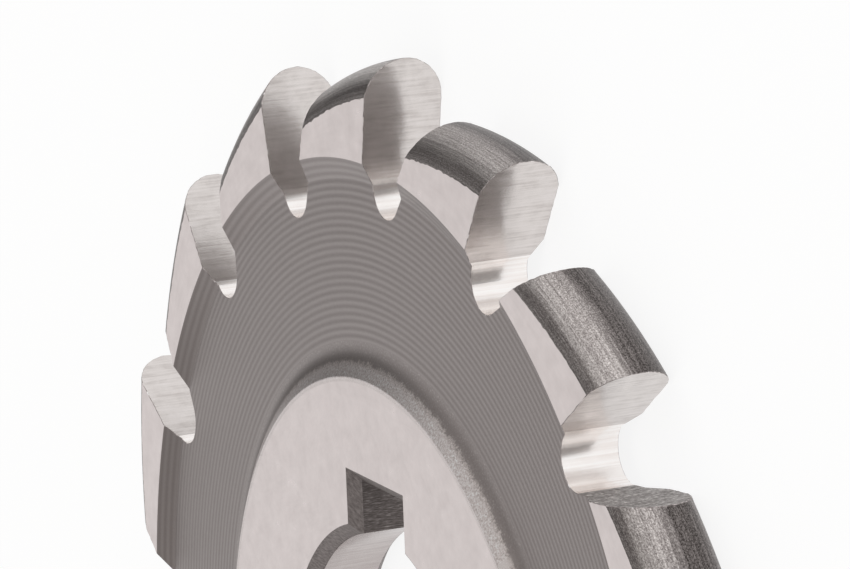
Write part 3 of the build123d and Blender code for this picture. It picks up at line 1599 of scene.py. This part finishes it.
@dataclass
class Studio:
    """A pale floor, a soft light overhead and a pale room with dark doorways.

    Attributes:
        floor_glow: Strength that makes the floor white to the camera and in the steel.
        room: Colours of the room, by the sine of the height over the horizon.
        doorways: Bearing from +X and height over the horizon of each dark place.
        doorway_spread: How far from its middle a dark place has faded out.
        doorway_core: Share of that spread that is fully dark.
    """

    floor_size: float = 4000.0
    floor_colour: str = "#747474"
    floor_glow: float = 0.86
    lamp_width: float = 840.0
    lamp_height: float = 690.0
    lamp_place: Corner = (0.0, 503.0, 327.0)
    lamp_power: float = 1.0
    room: Stops = ((0.5, "#F6F6F6"), (0.8, "#9A9896"), (0.88, "#9A9896"), (0.96, "#E8E6E4"))
    doorways: tuple[Point, ...] = ((172.0, 10.0), (155.0, 26.0))
    doorway_colour: str = "#383635"
    doorway_spread: float = 20.5
    doorway_core: float = 1 / 3

    def lay_floor(self) -> None:
        """Lay the floor that the cutter rests on."""
        work = bmesh.new()
        bmesh.ops.create_grid(work, x_segments=1, y_segments=1, size=self.floor_size / 2 * MM)
        mesh = bpy.data.meshes.new("floor")
        work.to_mesh(mesh)
        work.free()
        mesh.transform(Matrix.Translation((0.0, 0.0, CAD_BOX[0][2])))
        mesh.materials.append(self.floor_material())
        placed("floor", mesh)

    def floor_material(self) -> bpy.types.Material:
        """Make matt white paper that shows white to the camera and in the steel.

        Returns:
            The floor's material.
        """
        made = bpy.data.materials.new("matt_white_paper")
        tree = cleared(made)
        paper = add_node(tree, "ShaderNodeBsdfDiffuse", {"Color": linear(self.floor_colour)})
        path = add_node(tree, "ShaderNodeLightPath").node.outputs
        seen = path["Is Camera Ray"]
        for ray in ("Is Glossy Ray", "Is Transmission Ray"):
            seen = add_node(tree, "ShaderNodeMath", {0: seen, 1: path[ray]}, operation="MAXIMUM")
        glow = {0: seen, 1: self.floor_glow}
        strength = add_node(tree, "ShaderNodeMath", glow, operation="MULTIPLY")
        light = add_node(tree, "ShaderNodeEmission", {"Strength": strength})
        both = add_node(tree, "ShaderNodeAddShader", {0: paper, 1: light})
        add_node(tree, "ShaderNodeOutputMaterial", {"Surface": both})
        return made

    def surround(self) -> None:
        """Surround the cutter with pale walls, a greyer ceiling, a lit patch above and dark doorways."""
        world = bpy.data.worlds.new("pale_room")
        bpy.context.scene.world = world
        tree = cleared(world)
        place = add_node(tree, "ShaderNodeTexCoord", out="Generated")
        height = add_node(tree, "ShaderNodeSeparateXYZ", {"Vector": place}, "Z")
        colour = add_node(tree, "ShaderNodeValToRGB", {"Fac": height}, stops=self.room)
        for bearing, rise in self.doorways:
            colour = self.darkened(tree, colour, place, math.radians(bearing), math.radians(rise))
        sky = add_node(tree, "ShaderNodeBackground", {"Color": colour})
        add_node(tree, "ShaderNodeOutputWorld", {"Surface": sky})

    def darkened(
        self, tree: Tree, colour: Socket, place: Socket, bearing: float, rise: float
    ) -> Socket:
        """Darken the room softly round one direction, as where a dark doorway stands.

        Args:
            tree: The world's tree.
            colour: The room's colour so far.
            place: The direction that is looked at.
            bearing: The doorway's bearing from +X, in radians.
            rise: Its height over the horizon, in radians.

        Returns:
            The room's colour with the doorway.
        """
        pair = {0: place, 1: (*polar(math.cos(rise), bearing), math.sin(rise))}
        nearness = add_node(tree, "ShaderNodeVectorMath", pair, operation="DOT_PRODUCT")
        edge, core = (
            math.cos(math.radians(self.doorway_spread * share)) for share in (1, self.doorway_core)
        )
        fade = {"Value": nearness, "From Min": edge, "From Max": core}
        shade = add_node(tree, "ShaderNodeMapRange", fade, interpolation_type="SMOOTHSTEP")
        mixed = {"Factor": shade, "A": colour, "B": linear(self.doorway_colour)}
        return add_node(tree, "ShaderNodeMix", mixed, data_type="RGBA")

    def hang_lamp(self) -> None:
        """Hang one large soft lamp over the cutter."""
        light = bpy.data.lights.new("softbox", "AREA")
        light.shape = "RECTANGLE"
        light.size = self.lamp_width * MM
        light.size_y = self.lamp_height * MM
        light.energy = self.lamp_power
        made = placed("softbox", light)
        made.location = Vector(self.lamp_place) * MM
        made.rotation_euler = made.location.to_track_quat("Z", "Y").to_euler()
        made.visible_camera = False

    def build(self) -> None:
        """Set up the floor, the room and the lamp."""
        self.lay_floor()
        self.surround()
        self.hang_lamp()


@dataclass(frozen=True)
class Viewpoint:
    """Where the photograph was taken from, in the cutter's frame.

    Attributes:
        eye: The camera's place.
        aim: The point of the cutter's mid-width plane in the middle of the picture.
        roll: Turn of the camera about its own axis, in degrees.
        lens: Focal length for a sensor of the given width.
        sensor: Width of the sensor.
        nearest: Distance where the picture begins.
        furthest: Distance where it ends.
    """

    eye: Corner = (180.984, 59.401, 80.875)
    aim: Corner = (1.564, 17.213, 0.0)
    roll: float = -97.714
    lens: float = 247.69
    sensor: float = 36.0
    nearest: float = 10.0
    furthest: float = 20000.0

    def build(self) -> None:
        """Make the camera and set it as the scene's own."""
        data = bpy.data.cameras.new("camera")
        data.sensor_width = self.sensor
        data.lens = self.lens
        data.clip_start = self.nearest * MM
        data.clip_end = self.furthest * MM
        made = placed("camera", data)
        made.location = Vector(self.eye) * MM
        look = (Vector(self.eye) - Vector(self.aim)).to_track_quat("Z", "Y")
        made.rotation_mode = "QUATERNION"
        made.rotation_quaternion = look @ Quaternion((0.0, 0.0, 1.0), math.radians(self.roll))
        bpy.context.scene.camera = made


def main() -> None:
    """Build the camera, the cutter and the studio."""
    Viewpoint().build()
    LOG.info("camera placed")
    cutter = FormCutter(CutterSizes(), Finishes()).build()
    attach(cutter, BODY)
    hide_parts(CAD_NODE)
    LOG.info("cutter placed: %d faces", len(cutter.data.polygons))
    Studio().build()
    LOG.info("floor, room and lamp placed")
    bpy.context.scene.view_settings.view_transform = "Standard"


if __name__ == "__main__":
    logging.basicConfig(level=logging.INFO, format="%(name)s: %(message)s")
    main()
